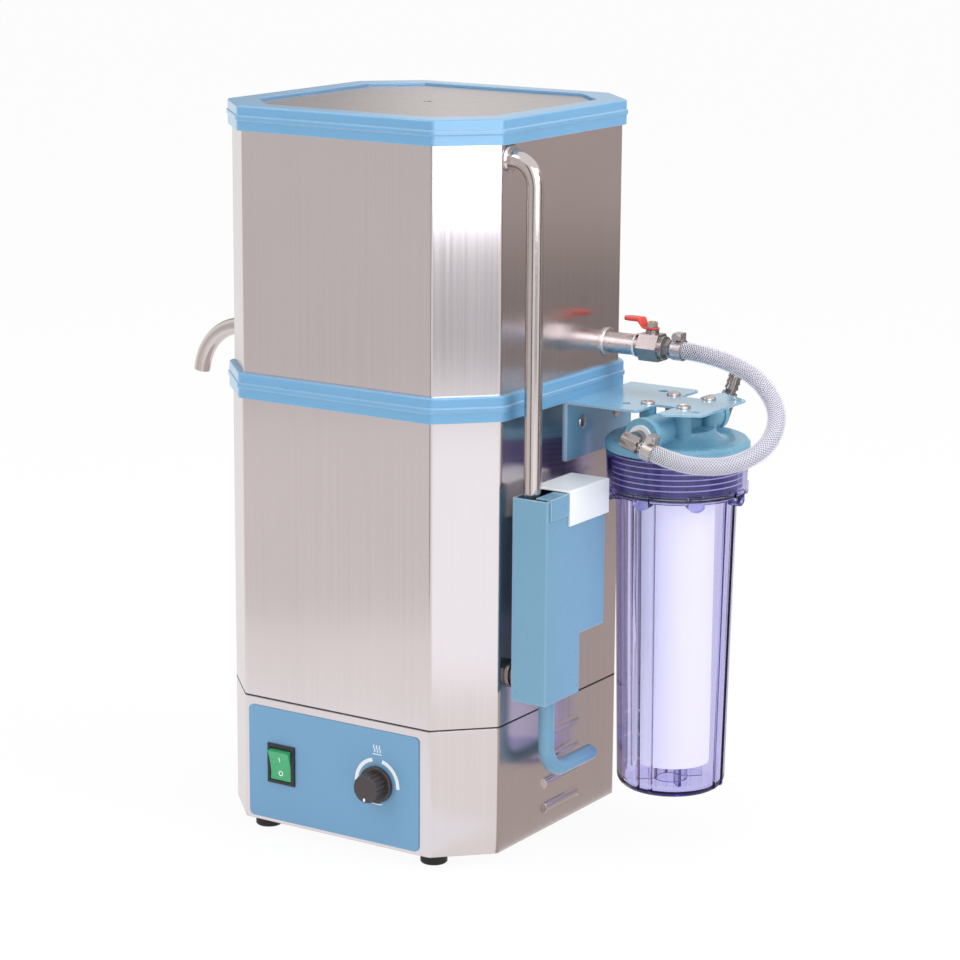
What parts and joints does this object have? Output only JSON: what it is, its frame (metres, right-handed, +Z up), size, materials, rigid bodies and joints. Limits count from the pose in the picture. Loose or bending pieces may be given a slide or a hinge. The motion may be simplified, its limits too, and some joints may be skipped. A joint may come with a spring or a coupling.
{
  "type": "bench water still with prefilter",
  "caption": "Eight-sided steel bench water still with painted rings, a front panel with rocker and knob, side level box, overflow pipe, inlet valve and clear cartridge prefilter.",
  "frame": {"origin": "middle of the base plate's underside, level with the lower edge of the base; the feet reach below it", "axes": "+Z up, -Y towards the user (front panel), +X towards the filter side"},
  "size_m": [0.5355, 0.2835, 0.5725],
  "materials": {
    "brushed_steel": "brushed",
    "plain_steel": "satin",
    "polished_steel": "polished",
    "blue_paint": "semi-gloss",
    "panel_paint": "satin",
    "bracket_paint": "gloss",
    "head_plastic": "moulded gloss",
    "black_plastic": "matte",
    "knob_plastic": "satin",
    "green_plastic": "gloss",
    "cream_plastic": "matte",
    "white_plastic": "gloss",
    "black_rubber": "matte",
    "gasket_rubber": "matte",
    "nickel_brass": "nickel plated",
    "red_lever_coat": "dipped vinyl",
    "hose_braid": "clear with white braid",
    "clear_violet": "transparent",
    "wound_fibre": "wound",
    "brass": "satin"
  },
  "bodies": {
    "still": {"base_shell": "brushed_steel", "base_plate": "plain_steel", "feet": "black_rubber", "base_deck": "plain_steel", "front_panel": "panel_paint", "switch_housing": "black_plastic", "switch_terminals": "brass", "heat_regulator": "black_plastic", "regulator_nut": "nickel_brass", "terminal_block": "cream_plastic", "cable_gland": "black_plastic", "gland_nut": "black_plastic", "boiler_casing": "brushed_steel", "boiler_tank": "plain_steel", "heating_element": "polished_steel", "heater_nuts": "brass", "dry_cutout": "cream_plastic", "boiler_union": "polished_steel", "union_nuts": "nickel_brass", "mid_ring": "blue_paint", "vessel_gasket": "gasket_rubber", "upper_vessel": "brushed_steel", "condenser_dome": "plain_steel", "distillate_gutter": "plain_steel", "distillate_spout": "polished_steel", "pipe_welds": "polished_steel", "overflow_pipe": "polished_steel", "top_ring": "blue_paint", "level_box": "blue_paint", "box_clip": "blue_paint", "standpipe": "plain_steel", "drain_elbow": "blue_paint", "inlet_nipple": "plain_steel", "seal_ring": "white_plastic", "valve_body": "nickel_brass", "hose_tail": "nickel_brass", "hose_clamps": "plain_steel", "water_hose": "hose_braid", "filter_bracket": "bracket_paint", "bracket_screws": "plain_steel", "filter_head": "head_plastic", "port_bushes": "white_plastic", "outlet_elbow": "nickel_brass", "inlet_elbow": "nickel_brass"},
    "rocker": {"rocker": "green_plastic"},
    "knob": {"control_knob": "knob_plastic", "control_shaft": "brass"},
    "valve": {"valve_lever": "red_lever_coat", "lever_nut": "plain_steel", "valve_stem": "brass", "valve_ball": "polished_steel"},
    "lid": {"top_lid": "brushed_steel"},
    "box_cover": {"level_box_cover": "white_plastic"},
    "cartridge": {"filter_cartridge": "wound_fibre"},
    "sump": {"filter_sump": "clear_violet", "o_ring": "black_rubber"}
  },
  "joints": [
    {"name": "rocker_press", "type": "hinge", "parent": "still", "child": "rocker", "pos_m": [-0.0513, -0.125, 0.0494], "axis": [-1, 0, 0], "range_deg": [0, 20]},
    {"name": "knob_turn", "type": "hinge", "parent": "still", "child": "knob", "pos_m": [0.0396, -0.126, 0.0505], "axis": [0, 1, 0], "range_deg": [0, 270]},
    {"name": "valve_turn", "type": "hinge", "parent": "still", "child": "valve", "pos_m": [0.1648, 0.0673, 0.3756], "axis": [0, 0, 1], "range_deg": [0, 90]},
    {"name": "lid_lift", "type": "slide", "parent": "still", "child": "lid", "axis": [0, 0, 1], "range_m": [0, 0.05]},
    {"name": "cover_lift", "type": "slide", "parent": "still", "child": "box_cover", "axis": [0, 0, 1], "range_m": [0, 0.04]},
    {"name": "sump_drop", "type": "slide", "parent": "still", "child": "cartridge", "axis": [0, 0, -1], "range_m": [0, 0.0181]},
    {"name": "sump_unscrew", "type": "hinge", "parent": "cartridge", "child": "sump", "pos_m": [0.197, 0.053, 0.2685], "axis": [0, 0, -1], "range_deg": [0, 1080]}
  ],
  "couplings": [
    {"joint": "sump_drop", "follows": "sump_unscrew", "m_per_rad": 0.00095493}
  ]
}
